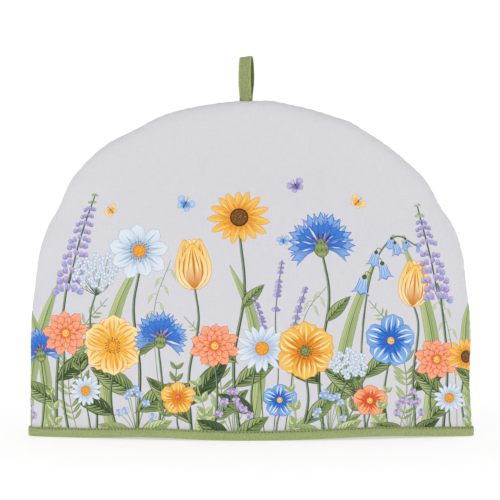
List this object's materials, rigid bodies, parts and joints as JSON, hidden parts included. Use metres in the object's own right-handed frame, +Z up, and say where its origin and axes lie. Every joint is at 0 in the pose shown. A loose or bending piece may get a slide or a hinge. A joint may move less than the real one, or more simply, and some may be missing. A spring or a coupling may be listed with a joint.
{
  "type": "tea cosy",
  "caption": "Padded fabric tea cosy: a tall dome of printed cotton sewn round its edge, with a green bound hem and a green hanging loop at the top.",
  "frame": {"origin": "on the table, under the middle of the cosy", "axes": "+Z up, X along the cosy's wide side, the front panel faces -Y"},
  "size_m": [0.336, 0.094, 0.2864],
  "materials": {
    "printed_cotton": "off-white woven cotton, printed with wild flowers",
    "hem_tape": "sage green woven cotton tape",
    "loop_tape": "sage green woven cotton tape"
  },
  "bodies": {
    "root": {"front_panel": "printed_cotton", "back_panel": "printed_cotton", "hem_binding": "hem_tape", "hanging_loop": "loop_tape"}
  },
  "joints": []
}
